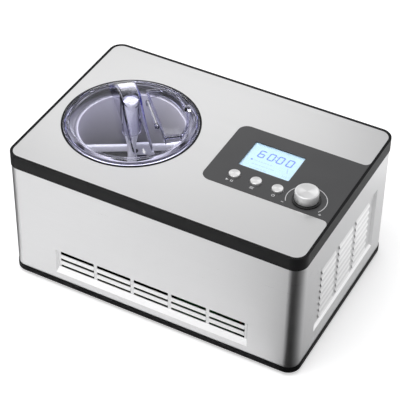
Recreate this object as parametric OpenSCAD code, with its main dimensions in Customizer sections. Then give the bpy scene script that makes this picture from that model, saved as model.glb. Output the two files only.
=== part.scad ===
// Countertop ice cream maker with a built-in compressor, sizes in millimetres.
// Origin: centre of the footprint, on the surface the feet stand on. +X right, +Y back, +Z up.

/* [Body] */
// Overall width of the body
body_w = 425; // [420:1:432]
// Overall depth of the body
body_d = 285; // [283:1:290]
// Height of the body above the feet
body_h = 198; // [197:1:204]
// Radius of the four upright corners
corner_r = 18; // [16:1:20]
// Height of the black base strip
base_h = 8.5; // [8:0.5:9]
// Height of the black top frame's side band
band_h = 19.2; // [18:0.2:20]
// Width of the top frame's lip
lip_w = 3.8; // [3.4:0.2:4.2]
// Distance the steel case stands in from the top frame
case_inset = 0.8; // [0.6:0.1:1]
// Thickness of the steel sheet of the case
case_t = 0.9; // [0.8:0.1:1.1]
// Thickness of the brushed top plate
plate_t = 1.2; // [1:0.1:1.2]
// Height of a rubber foot
foot_h = 6; // [5:0.5:8]
// Radius of a rubber foot
foot_r = 11; // [10:0.5:12]

/* [Freezing bowl] */
// Centre of the lid opening, left of the middle
opening_x = -102.5; // [-103:0.5:-102]
// Centre of the lid opening, front to back
opening_y = -6.5; // [-8:0.5:-5]
// Radius of the hole in the top plate
opening_r = 93.2; // [93:0.1:93.4]
// Inside radius of the removable bowl
bowl_r = 70.5; // [70:0.5:71]
// Depth of the bowl's floor below the top
bowl_depth = 112; // [110:1:114]
// Wall of the bowl
bowl_t = 1.3; // [1.2:0.1:1.5]
// Turns of copper tube round the evaporator
coil_turns = 6; // [4:1:7]

/* [Lid] */
// Direction of the lid's handle, in degrees from +X
handle_angle = -47; // [-60:1:-30]
// Height of the handle's peak above the top
handle_h = 45; // [44:0.5:48]
// Width of the handle
handle_w = 27; // [25:1:29]
// Wall of the clear mouldings
clear_t = 2.4; // [2:0.2:2.6]
// Distance of the flap's hinge from the lid's centre
flap_offset = 28.5; // [28:0.5:29]

/* [Control panel] */
// Left edge of the panel
panel_x = 27.9; // [26:0.1:32]
// Front edge of the panel
panel_front = -60; // [-62:0.5:-59]
// Back edge of the panel
panel_back = 62; // [60:0.5:64]
// Width of the display window
display_w = 71.5; // [68:0.5:72]
// Height of the display window
display_d = 52.5; // [50:0.5:54]
// Radius of a button cap
button_r = 7.5; // [7:0.1:7.6]
// Travel of a button
button_travel = 1; // [0.6:0.1:1]
// Radius of the dial's top
dial_r = 15.4; // [14:0.2:16]
// Height of the dial above the panel
dial_h = 15.5; // [13:0.5:18]

/* [Drive] */
// Module of the gear teeth
gear_m = 1; // [1:1:1]
// Teeth of each small gear
pinion_teeth = 14; // [14:2:16]
// Teeth of each large gear
gear_teeth = 48; // [44:4:48]
// Radius of the paddle's drive shaft
shaft_r = 4.5; // [4.2:0.1:4.6]
// Blades of the fan
fan_blades = 7; // [5:1:9]

/* [Hidden] */
$fn = 96;
steel = "#c9cacc";
black = "#26272a";
copper = "#b87346";
eps = 0.5;
gap = 0.3;
z_base = foot_h;
z_case = foot_h + base_h;
z_top = foot_h + body_h;
z_band = z_top - band_h;
case_x = body_w / 2 - case_inset;
case_y = body_d / 2 - case_inset;
base_rim = 6;
base_floor = 3;
z_floor = z_base + base_floor;
foot_pos = [for (sx = [-1, 1], sy = [-1, 1]) [sx * 160, sy * 116]];
rear_open = 372;
rear_lap = 7;
rear_screw_pos = [for (sx = [-1, 1], z = [30, 100, 170]) [sx * (rear_open / 2 + rear_lap / 2), z]];
front_vent = [287, 40.6, 4, 9, 4.2, 3];
side_vent = [186.5, 101, 3.2, 4, 3, 3];
front_vent_z = foot_h + 19.4;
side_vent_z = foot_h + 33;
side_vent_y = 4.7;
plate_z = z_top - 0.3 - plate_t;
deck_t = 2;
ring_wall_r = opening_r - 2.2;
shelf_z = z_top - 16;
well_r = bowl_r + bowl_t + 0.8;
well_t = 1.2;
floor_z = z_top - bowl_depth;
well_floor_z = floor_z - bowl_t - 2;
coil_r = 3.5;
coil_path_r = well_r + well_t + coil_r + 1.2;
foam_r = 100;
hub_r = 13.5;
hub_bore = 10.4;
post_r = 8.8;
neck_r = 6.2;
paddle_angle = 31;
paddle_r = 68.4;
bar_z = z_top - 55;
neck_top = bar_z + 16;
column_r = 7.5;
column_bore = 5.3;
column_h = 27;
square_drive = 7;
display_x = 95.75;
display_y = 11.75;
button_xy = [[65.5, -35.5], [96, -35.5], [126.3, -35.5]];
dial_xy = [166.8, -36.3];
board_z = z_top - 14;
board_t = 1.6;
stem_z = z_top - 6.5;
pitch_gap = gear_m * (pinion_teeth + gear_teeth) / 2;
idler_x = opening_x + pitch_gap;
motor_x = opening_x + 2 * pitch_gap;
gear_box_w = 2 * pitch_gap + 50;
gear_box_x = opening_x + pitch_gap - 7;
gear_z1 = 42;
gear_z2 = 51;
gear_face = 7;
box_z = 37;
box_top = 60.5;
compressor_xy = [58, 34];
fan_yz = [0, 86];
fan_x = 152;
condenser_x = 185;
tube_r = 3.2;
gland_xz = [150, 45];
pass_end = 68;
pass_count = 10;
compressor_feet = [for (sx = [-1, 1], sy = [-1, 1])
    [compressor_xy.x + sx * 46, compressor_xy.y + sy * 36]];
gear_screw_pos = [for (sx = [-1, 1], sy = [-1, 1]) [gear_box_x + sx * 44, opening_y + sy * 29.4]];
coil_low = well_floor_z + 8;
coil_high = shelf_z - 8;
coil_path = [for (k = [0:coil_turns * 24])
    [opening_x + coil_path_r * cos(15 * k), opening_y + coil_path_r * sin(15 * k),
        coil_low + (coil_high - coil_low) * k / (coil_turns * 24)]];
outlet_path = [[140, -104, 29.5], [141, -103, 22], [150, -98, 19], [170, -86, 22], [178, -78, 29]];
panel_screw_pos = [[42, -44], [42, 46], [196, -44], [196, 46]];
post_top = z_top + 36;
pan_slot = [5, 90];
rear_slot = [44, 3.6];
rear_slot_pitch = 11;

// ---- shared shapes ----
module rounded(w, d, r) {
    square([w - 2 * r, d], center = true);
    square([w, d - 2 * r], center = true);
    for (sx = [-1, 1], sy = [-1, 1])
        translate([sx * (w / 2 - r), sy * (d / 2 - r)]) circle(r);
}
module slab(w, d, h, r) {
    linear_extrude(h) rounded(w, d, r);
}
module pipe(r1, r2, h) {
    difference() {
        cylinder(r = r2, h = h);
        translate([0, 0, -eps]) cylinder(r = r1, h = h + 2 * eps);
    }
}
module at_opening(z = 0) {
    translate([opening_x, opening_y, z]) children();
}
module along_x() {
    rotate([90, 0, 90]) children();
}
module pan_screw(head_r, head_h, shank_r, shank_l) {
    cylinder(r = head_r, h = head_h);
    translate([0, 0, -shank_l]) cylinder(r = shank_r, h = shank_l + eps);
}

// ---- swept tubes ----
function unit(v) = v / norm(v);
function curve_at(p, i, t) = let (
    n = len(p) - 1,
    a = p[max(0, i - 1)],
    b = p[i],
    c = p[min(n, i + 1)],
    d = p[min(n, i + 2)]
) 0.5 * (2 * b + (c - a) * t + (2 * a - 5 * b + 4 * c - d) * t * t + (3 * b - a - 3 * c + d) * t * t * t);
function smooth(p, steps) = concat(
    [for (i = [0:len(p) - 2], k = [0:steps - 1]) curve_at(p, i, k / steps)],
    [p[len(p) - 1]]
);
function tangents(p) = [for (i = [0:len(p) - 1])
    unit(p[min(i + 1, len(p) - 1)] - p[max(i - 1, 0)])];
function sides_of(t) = [for (
    i = 0, n = unit(cross(t[0], abs(t[0].z) < 0.8 ? [0, 0, 1] : [1, 0, 0]));
    i < len(t);
    i = i + 1, n = i < len(t) ? unit(n - (n * t[i]) * t[i]) : n
) n];
module tube(path, r, sides = 8) {
    t = tangents(path);
    n = sides_of(t);
    rings = len(path);
    points = [for (i = [0:rings - 1], k = [0:sides - 1])
        path[i] + r * (cos(360 * k / sides) * n[i] + sin(360 * k / sides) * cross(t[i], n[i]))];
    walls = [for (i = [0:rings - 2], k = [0:sides - 1])
        let (a = i * sides + k, b = i * sides + (k + 1) % sides) [a, a + sides, b + sides, b]];
    halves = [for (w = walls, h = [[w[0], w[1], w[2]], [w[0], w[2], w[3]]]) h];
    first = [for (k = [0:sides - 1]) k];
    last = [for (k = [sides - 1:-1:0]) (rings - 1) * sides + k];
    polyhedron(points, concat(halves, [first, last]));
}

// ---- stamped vents ----
// v is [width, height, depth, ledge, top slope, end slope]; y runs inward from the sheet's face.
module vent_pan(v, grow, mouth) {
    reach = v[2] + grow;
    half = v[0] / 2 + grow;
    intersection() {
        translate([-v[0], 0, 0]) along_x() linear_extrude(2 * v[0])
            polygon([[mouth, -grow], [0, -grow], [reach, v[3] - grow],
                [reach, v[1] - v[4] + grow], [0, v[1] + grow], [mouth, v[1] + grow]]);
        translate([0, 0, -v[1]]) linear_extrude(3 * v[1])
            polygon([[-half, mouth], [-half, 0], [v[5] - half, reach],
                [half - v[5], reach], [half, 0], [half, mouth]]);
    }
}
module vent_slot(w, v, z, h) {
    translate([-w / 2, v[2] - eps, z]) cube([w, case_t + 2 * eps, h]);
}
module vent_hood(w, v, z, h, bulge) {
    y = v[2];
    translate([-w / 2, 0, 0]) along_x() linear_extrude(w)
        polygon([[y + case_t, z + h], [y, z + h], [y - bulge, z], [y - bulge + case_t, z]]);
    for (x = [-w / 2, w / 2 - 1])
        translate([x, 0, 0]) along_x() linear_extrude(1)
            polygon([[y + case_t, z + h], [y, z + h], [y - bulge, z], [y + case_t, z]]);
}
module vent_field(v, groups, rows, group_pitch, slot_w, first_z, pitch, open_h, hood_h, bulge, hoods) {
    difference() {
        difference() {
            vent_pan(v, case_t, 0);
            vent_pan(v, 0, -1);
        }
        for (g = [0:groups - 1], k = [0:rows - 1])
            translate([(g - (groups - 1) / 2) * group_pitch, 0, 0])
                vent_slot(slot_w, v, first_z + k * pitch, k < hoods ? open_h + hood_h : open_h);
    }
    for (g = [0:groups - 1], k = [0:hoods - 1])
        translate([(g - (groups - 1) / 2) * group_pitch, 0, 0])
            vent_hood(slot_w, v, first_z + k * pitch + open_h, hood_h, bulge);
}
module on_front(z) {
    translate([0, -case_y, z]) children();
}
module on_side(side, z) {
    translate([side * case_x, side_vent_y, z]) rotate(side * 90) children();
}

// ---- outer shell ----
module outer_case() color(steel) {
    difference() {
        translate([0, 0, z_case]) difference() {
            slab(2 * case_x, 2 * case_y, z_band - z_case, corner_r - case_inset);
            translate([0, 0, -eps])
                slab(2 * (case_x - case_t), 2 * (case_y - case_t), body_h, corner_r - case_inset - case_t);
        }
        translate([-rear_open / 2, 0, 0]) cube([rear_open, body_d, body_h + foot_h]);
        on_front(front_vent_z) vent_pan(front_vent, 0, -1);
        for (side = [-1, 1]) on_side(side, side_vent_z) vent_pan(side_vent, 0, -1);
        for (p = rear_screw_pos)
            translate([p.x, case_y - 4, p.y]) rotate([-90, 0, 0]) cylinder(r = 1.6, h = 8);
    }
    on_front(front_vent_z) vent_field(front_vent, 5, 3, 56, 51, 9.2, 10.9, 5.3, 5.6, 1.3, 2);
    for (side = [-1, 1])
        on_side(side, side_vent_z) vent_field(side_vent, 3, 8, 53, 42.5, 5.4, 11.05, 2.6, 5.4, 2, 8);
}
module rear_panel() color(steel) {
    t = 1;
    w = rear_open + 2 * rear_lap - 0.6;
    translate([0, case_y - case_t, 0]) rotate([90, 0, 0]) linear_extrude(t) difference() {
        translate([-w / 2, z_case]) square([w, z_band - z_case]);
        for (p = rear_screw_pos) translate(p) circle(1.6);
        translate(gland_xz) circle(7);
        for (x = [-90, -30, 30, 90], k = [0:6])
            translate([x, 70 + k * rear_slot_pitch])
                rounded(rear_slot.x, rear_slot.y, rear_slot.y / 2 - 0.1);
    }
}
module base_pan() color(black) {
    difference() {
        translate([0, 0, z_base]) slab(body_w, body_d, base_h, corner_r);
        translate([0, 0, z_floor])
            slab(body_w - 2 * base_rim, body_d - 2 * base_rim, base_h, corner_r - base_rim);
        for (p = foot_pos) translate([p.x, p.y, z_base - eps]) cylinder(r = 1.6, h = base_floor + 2 * eps);
        for (k = [-4:4]) translate([20 + k * 11, 34, z_base - eps])
            slab(pan_slot.x, pan_slot.y, base_floor + 2 * eps, pan_slot.x / 2 - 0.1);
    }
    difference() {
        translate([0, 0, z_case - base_floor]) slab(body_w - 3.6, body_d - 3.6, 8, corner_r - 1.8);
        translate([0, 0, z_floor - eps])
            slab(body_w - 8, body_d - 8, 3 * base_h, corner_r - 4);
        translate([-rear_open / 2 - rear_lap - gap, case_y - case_t - 1.3, z_case])
            cube([rear_open + 2 * (rear_lap + gap), 10, 10]);
    }
}
module feet() color(black) {
    for (p = foot_pos) translate([p.x, p.y, 0]) difference() {
        union() {
            cylinder(r = foot_r, h = foot_h - 2);
            translate([0, 0, foot_h - 2]) cylinder(r = foot_r - 1, h = 2);
        }
        translate([0, 0, -eps]) cylinder(r = 4, h = 2.5 + eps);
        cylinder(r = 1.6, h = foot_h + eps);
    }
}
module foot_screws() color("silver") {
    for (p = foot_pos) translate([p.x, p.y, 2.5]) rotate([180, 0, 0]) pan_screw(3.2, 1.4, 1.5, 9);
}
module rear_screws() color("silver") {
    for (p = rear_screw_pos)
        translate([p.x, case_y, p.y]) rotate([-90, 0, 0]) pan_screw(2.8, 0.75, 1.5, 6);
}
module top_frame() color(black) {
    difference() {
        translate([0, 0, z_band]) slab(body_w, body_d, band_h, corner_r);
        translate([0, 0, plate_z])
            slab(body_w - 2 * lip_w, body_d - 2 * lip_w, band_h, corner_r - lip_w);
        translate([0, 0, z_band - eps])
            slab(body_w - 5, body_d - 5, plate_z - deck_t - z_band + eps, corner_r - 2.5);
        at_opening(z_band) cylinder(r = opening_r + 5.1, h = band_h + eps);
        translate([display_x + 24, 1, z_band]) slab(166, 104, band_h + eps, 4);
    }
}
// Outline of the control panel; g grows it.
module panel_outline(g) {
    right = body_w / 2 - lip_w;
    fillet_r = 8.5;
    mid = (panel_back + panel_front) / 2;
    span = panel_back - panel_front + 2 * g;
    translate([panel_x - g, 0]) {
        translate([13 + g, mid - span / 2]) square([right - panel_x - 13, span]);
        translate([0, panel_front + 13]) square([20, span - 2 * g - 26]);
        for (y = [panel_front + 13, panel_back - 13]) translate([13 + g, y]) circle(13 + g);
    }
    for (s = [[panel_back, 1], [panel_front, -1]]) difference() {
        translate([right - fillet_r, s[0] - (s[1] > 0 ? 1 : fillet_r)]) square([fillet_r, fillet_r + 1]);
        translate([right - fillet_r, s[0] + s[1] * fillet_r]) circle(fillet_r - g);
    }
}
module top_plate() color(steel) {
    translate([0, 0, plate_z]) linear_extrude(plate_t) difference() {
        rounded(body_w - 2 * lip_w - 0.3, body_d - 2 * lip_w - 0.3, corner_r - lip_w - 0.15);
        panel_outline(0.25);
        translate([opening_x, opening_y]) circle(opening_r);
    }
}
module lid_ring() color(black) {
    at_opening(z_top) rotate_extrude()
        polygon([[ring_wall_r, 0.2], [opening_r - 0.2, 0.2], [opening_r - 0.2, -1.6],
            [opening_r + 4.8, -1.6], [opening_r + 4.8, -3.6], [ring_wall_r + 2, -3.6],
            [ring_wall_r + 2, -16], [well_r + 3, -16], [well_r + 3, -14], [ring_wall_r, -14]]);
}

// ---- control panel ----
module control_panel() color("#3a3b3e") {
    t = 1.5;
    difference() {
        translate([0, 0, z_top - t]) linear_extrude(t) intersection() {
            panel_outline(0);
            translate([0, -body_d / 2]) square([body_w / 2 - lip_w - 0.15, body_d]);
        }
        translate([display_x, display_y, z_top - t - eps]) slab(display_w, display_d, t + 2 * eps, 2);
        for (p = button_xy) translate([p.x, p.y, z_top - t - eps])
            cylinder(r = button_r + 0.6, h = t + 2 * eps);
        translate([dial_xy.x, dial_xy.y, z_top - t - eps]) cylinder(r = 5, h = t + 2 * eps);
    }
    for (p = panel_screw_pos)
        translate([p.x, p.y, board_z + board_t]) pipe(1.3, 3.2, z_top - t - board_z - board_t);
}
module display_lens() color([0.75, 0.88, 0.95, 0.5]) {
    translate([display_x, display_y, z_top - 3]) slab(display_w + 5, display_d + 5, 1.4, 3);
}
module lcd_module() color("#bfe0f5") {
    translate([display_x, display_y, z_top - 9]) slab(display_w + 6, display_d + 6, 5.8, 2);
    for (x = [-30, 30]) translate([display_x + x, display_y, board_z + board_t])
        slab(4, 20, z_top - 9 - board_z - board_t, 1);
}
module control_board() color("#2f6b45") {
    difference() {
        translate([119, 1, board_z]) slab(162, 98, board_t, 2);
        for (p = panel_screw_pos)
            translate([p.x, p.y, board_z - eps]) cylinder(r = 1.6, h = board_t + 2 * eps);
    }
    translate([160, 24, board_z + board_t]) slab(14, 14, 2, 0.6);
    for (y = [14, 34]) translate([182, y, board_z + board_t]) cylinder(r = 3, h = 5);
    translate([100, 1, board_z - 5]) slab(30, 8, 5, 0.5);
}
module tact_switches() color("#1c1c1e") {
    for (p = button_xy) translate([p.x, p.y, board_z + board_t]) {
        slab(6, 6, 3.4, 0.4);
        cylinder(r = 1.7, h = stem_z - button_travel - gap - board_z - board_t);
    }
}
module board_screws() color("silver") {
    for (p = panel_screw_pos)
        translate([p.x, p.y, board_z]) rotate([180, 0, 0]) pan_screw(2.6, 1.6, 1.2, 7);
}
module button(p) {
    translate([p.x, p.y, 0]) {
        translate([0, 0, z_top - 1.4]) cylinder(r = button_r, h = 3.6);
        translate([0, 0, z_top + 2.2]) cylinder(r1 = button_r, r2 = button_r - 0.6, h = 0.6);
        translate([0, 0, z_top - 3]) cylinder(r = button_r + 1.6, h = 1.2);
        translate([0, 0, z_top - 2.2]) cylinder(r = button_r - 1, h = 1.2);
        translate([0, 0, stem_z]) cylinder(r = 2.6, h = 4);
    }
}
module start_button() color("silver") {
    button(button_xy[0]);
}
module menu_button() color("silver") {
    button(button_xy[1]);
}
module power_button() color("silver") {
    button(button_xy[2]);
}
module dial_collar() color(black) {
    translate([dial_xy.x, dial_xy.y, z_top]) pipe(4, 18.5, 1.8);
}
module dial_encoder() color("#55585c") {
    translate([dial_xy.x, dial_xy.y, board_z + board_t]) difference() {
        union() {
            slab(12, 12, 6, 0.5);
            cylinder(r = 3.9, h = 13);
        }
        translate([0, 0, 1.5]) cylinder(r = 3.05, h = 14);
    }
}
module encoder_shaft() color("silver") {
    translate([dial_xy.x, dial_xy.y, board_z + board_t + 2]) cylinder(r = 3, h = 22);
}
module dial_knob() color("silver") {
    translate([dial_xy.x, dial_xy.y, z_top]) difference() {
        rotate_extrude()
            polygon([[0, 2.2], [dial_r + 0.5, 2.2], [dial_r + 0.1, dial_h - 1.2],
                [dial_r - 0.3, dial_h - 0.4], [dial_r - 1, dial_h], [0, dial_h]]);
        translate([0, 0, 2.2 - eps]) cylinder(r = dial_r - 3, h = 4 + eps);
        translate([0, 0, 2]) cylinder(r = 3, h = 22 + board_z + board_t - z_top);
    }
}

// ---- lid ----
function bezier(a, b, c, d, t) =
    a * pow(1 - t, 3) + 3 * b * t * pow(1 - t, 2) + 3 * c * t * t * (1 - t) + d * pow(t, 3);
// Side outline of the handle: steep and rounded at the back, then down past the hub and long to the front.
function handle_line(peak, base, run) = concat(
    [for (k = [0:8]) bezier(
        [-run, base], [-0.72 * run, 0.55 * peak], [-0.45 * run, peak], [-0.06 * run, peak], k / 8)],
    [for (k = [1:4]) bezier(
        [-0.06 * run, peak], [0.06 * run, peak], [0.08 * run, 0.82 * peak], [0.16 * run, 0.72 * peak], k / 4)],
    [for (k = [1:5]) bezier(
        [0.16 * run, 0.72 * peak], [0.35 * run, 0.48 * peak], [0.6 * run, 0.3 * peak], [run, base], k / 5)]
);
module handle_prism(grow, w) {
    rotate([90, 0, 0]) translate([0, 0, -w / 2]) linear_extrude(w)
        polygon(handle_line(handle_h + grow, grow == 0 ? 3 : -1, 82 + 1.4 * grow));
}
// Outline of the filler flap in handle directions; g grows it.
module flap_outline(g) {
    intersection() {
        circle(77 + g);
        translate([-53 - g, flap_offset + 3 - g]) square([106 + 2 * g, 60]);
    }
}
module on_lid(z = 0) {
    at_opening(z_top + z) rotate(handle_angle) children();
}
module lid_gasket() color("#3b3c40") {
    at_opening(z_top - 8) pipe(88.3, ring_wall_r - 0.4, 3);
}
module lid() color([0.72, 0.75, 0.9, 0.4]) {
    difference() {
        union() {
            on_lid() rotate_extrude()
                polygon([[0, 3], [82, 3], [85.6, 0.5], [85.6, -9], [88, -9], [88, 0.4],
                    [90.4, 0.4], [90.4, 1.8], [86, 2.6], [83.5, 5.2], [0, 5.2]]);
            on_lid() handle_prism(0, handle_w);
            on_lid(-5) linear_extrude(9) flap_outline(-1.5);
        }
        on_lid() handle_prism(-clear_t, handle_w - 2 * clear_t);
        on_lid(-5 - eps) linear_extrude(12) flap_outline(-4);
        on_lid(-10) cylinder(r = hub_bore, h = 47);
    }
    on_lid(-16) pipe(hub_bore, hub_r - 0.8, 56);
    on_lid(37) cylinder(r = hub_r - 1, h = 2.4);
    for (s = [-1, 1]) on_lid() translate([s * 25, flap_offset, 0]) flap_knuckle(7, 4.4);
}
module flap_knuckle(w, foot) {
    difference() {
        union() {
            translate([-w / 2, 0, 8]) rotate([0, 90, 0]) cylinder(r = 2.7, h = w);
            translate([-w / 2, -2.7, foot]) cube([w, 5.4, 8 - foot]);
        }
        translate([-w / 2 - eps, 0, 8]) rotate([0, 90, 0]) cylinder(r = 1.1, h = w + 2 * eps);
    }
}
module flap_pin() color("silver") {
    on_lid(8) translate([-29, flap_offset, 0]) rotate([0, 90, 0]) cylinder(r = 1.1, h = 58);
}
module filler_flap() color([0.75, 0.78, 0.92, 0.4]) {
    difference() {
        union() {
            on_lid(5.6) linear_extrude(clear_t) flap_outline(0);
            on_lid(5.6) translate([-21.2, flap_offset, 0]) cube([42.4, 6, clear_t]);
            on_lid(8) translate([-21.2, flap_offset, 0]) rotate([0, 90, 0]) cylinder(r = 2.4, h = 42.4);
            on_lid(5.6) translate([-4.5, 72, 0]) cube([9, 9, 5]);
        }
        on_lid(8) translate([-30, flap_offset, 0]) rotate([0, 90, 0]) cylinder(r = 1.16, h = 60);
    }
}

// ---- bowl, evaporator and paddle ----
module bowl() color("#d5d7d9") {
    r = bowl_r + bowl_t;
    difference() {
        at_opening(floor_z - bowl_t) {
            cylinder(r = r, h = bowl_depth + bowl_t - 9);
            translate([0, 0, bowl_depth + bowl_t - 12.4]) cylinder(r = r + 4, h = 3.4);
        }
        at_opening(floor_z) pipe(column_r, bowl_r, bowl_depth);
        at_opening(floor_z + column_h - bowl_t) cylinder(r = column_r + eps, h = bowl_depth);
        at_opening(floor_z - bowl_t - eps) cylinder(r = column_bore, h = bowl_depth);
    }
}
module well() color("#b9bcc0") {
    difference() {
        at_opening(well_floor_z - well_t) union() {
            cylinder(r = well_r + well_t, h = z_top - 14 + well_t - well_floor_z);
            translate([0, 0, z_top - 14 + well_t - well_floor_z])
                cylinder(r = ring_wall_r - 0.3, h = well_t);
        }
        at_opening(well_floor_z) cylinder(r = well_r, h = bowl_depth);
        at_opening(well_floor_z - well_t - eps) cylinder(r = shaft_r + 2.6, h = 3 * well_t);
    }
}
module evaporator_coil() color(copper) {
    tube(coil_path, coil_r);
}
module well_insulation() color("#e9e2c4") {
    difference() {
        at_opening(well_floor_z - 22) cylinder(r = foam_r, h = shelf_z - well_floor_z + 21.5);
        at_opening(well_floor_z - well_t - 0.2)
            cylinder(r = coil_path_r + coil_r + 0.6, h = bowl_depth);
        at_opening(well_floor_z - 40) cylinder(r = 16, h = 60);
        at_opening(well_floor_z - 40) translate([40, 0, 0]) cylinder(r = 4.4, h = 60);
        at_opening(coil_low) translate([coil_path_r, 0, 0]) cube([60, 20, 20], center = true);
        at_opening(coil_high) translate([coil_path_r, 0, 0]) cube([60, 20, 20], center = true);
    }
}
module temperature_sensor() color("#8c8f94") {
    at_opening(well_floor_z - well_t - 8.2) translate([40, 0, 0]) cylinder(r = 4, h = 8);
}
module shaft_seal() color("#3b3c40") {
    at_opening(well_floor_z - well_t - 6) pipe(shaft_r + 0.06, shaft_r + 5, 6);
    at_opening(well_floor_z - well_t) pipe(shaft_r + 0.3, shaft_r + 2.5, well_t + 0.8);
}
module paddle() color("#e4e4e6") {
    socket_z = floor_z + column_h + 4;
    difference() {
        union() {
            at_opening(floor_z + 4) cylinder(r = 12, h = socket_z - floor_z - 2);
            at_opening(socket_z + 2) cylinder(r1 = 12, r2 = neck_r, h = 9);
            at_opening(socket_z + 11) cylinder(r = neck_r, h = neck_top - socket_z - 11);
            at_opening(neck_top) cylinder(r1 = neck_r, r2 = post_r, h = 14);
            at_opening(neck_top + 14) cylinder(r = post_r, h = post_top - neck_top - 14);
            at_opening() rotate(paddle_angle) {
                for (z = [[bar_z + 5.5, 8.5], [floor_z + 3, 12]])
                    translate([-paddle_r + 2, -2.5, z[0]]) cube([2 * paddle_r - 4, 5, z[1]]);
                for (s = [-1, 1]) translate([s * (paddle_r - 3), 0, floor_z + 3]) rotate(s * 20)
                    translate([-3, -1.8, 0]) cube([5.6, 3.6, bar_z + 19 - floor_z - 3]);
            }
        }
        at_opening(floor_z) cylinder(r = column_r + 0.8, h = column_h + 2);
        at_opening(floor_z) translate([-square_drive / 2 - 0.2, -square_drive / 2 - 0.2, 0])
            cube([square_drive + 0.4, square_drive + 0.4, column_h + 19]);
    }
}

// ---- drive ----
function roll(rb, r) = r <= rb ? 0 : sqrt(pow(r / rb, 2) - 1) * 180 / PI;
function unroll(rb, r) = let (a = roll(rb, r)) a - atan(a * PI / 180);
// Involute gear outline with stub teeth, 20 degree pressure angle and a little backlash.
function gear_points(teeth, backlash) = let (
    rp = gear_m * teeth / 2,
    rb = rp * cos(20),
    rf = rp - 1.1 * gear_m,
    ra = rp + 0.8 * gear_m,
    rs = max(rf, rb),
    radii = concat(rf < rb ? [rf] : [], [for (k = [0:4]) rs + (ra - rs) * k / 4]),
    half = 90 / teeth - backlash / rp * 90 / PI + unroll(rb, rp),
    count = len(radii)
) [for (i = [0:teeth - 1], k = [0:2 * count - 1])
    let (
        up = k < count,
        r = radii[up ? k : 2 * count - 1 - k],
        a = i * 360 / teeth + (up ? -1 : 1) * (half - unroll(rb, r))
    ) r * [cos(a), sin(a)]];
module gear(teeth, face, turn = 0) {
    rotate(turn) linear_extrude(face) polygon(gear_points(teeth, 0.24));
}
module drive_shaft() color("silver") {
    top = floor_z + column_h + 15;
    at_opening(box_z + 1) cylinder(r = shaft_r, h = floor_z + column_h - box_z);
    at_opening(floor_z + column_h) translate([-square_drive / 2, -square_drive / 2, 0]) intersection() {
        cube([square_drive, square_drive, top - floor_z - column_h]);
        translate([square_drive / 2, square_drive / 2, 0]) cylinder(r = shaft_r, h = 40);
    }
}
module drive_gear() color("#e8e6dc") {
    at_opening(gear_z2) difference() {
        gear(gear_teeth, gear_face, 180 / gear_teeth);
        translate([0, 0, -eps]) cylinder(r = shaft_r, h = gear_face + 2 * eps);
    }
}
module drive_bush() color("#b08d4a") {
    at_opening(box_top) pipe(shaft_r + 0.05, 8, 5);
}
module idler_gear() color("#e8e6dc") {
    translate([idler_x, opening_y, 0]) difference() {
        union() {
            translate([0, 0, gear_z1]) gear(gear_teeth, gear_face, 180 / gear_teeth);
            translate([0, 0, gear_z1 + gear_face - eps]) cylinder(r = 5.6, h = 2.5);
            translate([0, 0, gear_z2]) gear(pinion_teeth, gear_face);
        }
        translate([0, 0, gear_z1 - eps]) cylinder(r = 2.55, h = 30);
    }
}
module idler_pin() color("silver") {
    translate([idler_x, opening_y, box_z + 0.5]) cylinder(r = 2.5, h = box_top - box_z + 1);
}
module motor_pinion() color("silver") {
    translate([motor_x, opening_y, 0]) {
        translate([0, 0, gear_z1]) gear(pinion_teeth, gear_face);
        translate([0, 0, 20]) cylinder(r = 2.5, h = gear_z1 + gear_face - 20);
    }
}
module drive_motor() color("#9a9da1") {
    translate([motor_x, opening_y, 0]) difference() {
        union() {
            translate([0, 0, 13]) cylinder(r = 29, h = 22);
            translate([0, 0, 35]) cylinder(r = 8, h = 2);
            translate([0, 0, 30]) slab(72, 16, 3, 4);
        }
        translate([0, 0, 18]) cylinder(r = 2.55, h = 20);
    }
}
module gear_box_outline(g) {
    translate([gear_box_x, opening_y]) rounded(gear_box_w + 2 * g, 62 + 2 * g, 12 + g);
}
module gear_housing() color("#4a4d52") {
    difference() {
        translate([0, 0, box_z]) linear_extrude(box_top - box_z) gear_box_outline(0);
        translate([0, 0, box_z + 3]) linear_extrude(30) gear_box_outline(-3);
        translate([idler_x, opening_y, box_z - eps]) cylinder(r = 2.5, h = 6);
        translate([motor_x, opening_y, box_z - eps]) cylinder(r = 5, h = 6);
        at_opening(box_z - eps) cylinder(r = shaft_r + 0.06, h = 6);
    }
}
module gear_cover() color("#4a4d52") {
    difference() {
        translate([0, 0, box_top]) linear_extrude(2.4) gear_box_outline(0);
        at_opening(box_top - eps) cylinder(r = 8, h = 4);
        translate([idler_x, opening_y, box_top - eps]) cylinder(r = 2.5, h = 2);
        for (p = gear_screw_pos) translate([p.x, p.y, box_top - eps]) cylinder(r = 1.1, h = 4);
    }
}
module gearbox_screws() color("silver") {
    for (p = gear_screw_pos) translate([p.x, p.y, box_top + 2.4]) pan_screw(2.4, 1.4, 1.1, 2.3);
}

// ---- refrigeration ----
module compressor() color("#2c2d30") {
    translate([compressor_xy.x, compressor_xy.y, 0]) {
        translate([0, 0, 22]) rotate_extrude()
            polygon(concat([[0, 0]], [for (a = [-90:15:0]) [30 + 20 * cos(a), 20 + 20 * sin(a)]],
                [for (a = [0:15:90]) [26 + 24 * cos(a), 88 + 24 * sin(a)]], [[0, 112]]));
        translate([0, 0, 18.4]) slab(112, 92, 4, 10);
        translate([20, -47, 40]) rotate([90, 0, 0]) cylinder(r = 3.4, h = 8, center = true);
    }
}
module compressor_grommets() color(black) {
    for (p = compressor_feet) translate([p.x, p.y, z_floor]) {
        cylinder(r = 9, h = 9.4);
    }
}
module compressor_bolts() color("silver") {
    for (p = compressor_feet) translate([p.x, p.y, 22.4]) cylinder(r = 5, h = 4, $fn = 6);
}
module compressor_relay() color("#d9d9d4") {
    translate([compressor_xy.x, compressor_xy.y + 59, 62]) slab(40, 16, 44, 3);
}
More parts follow.
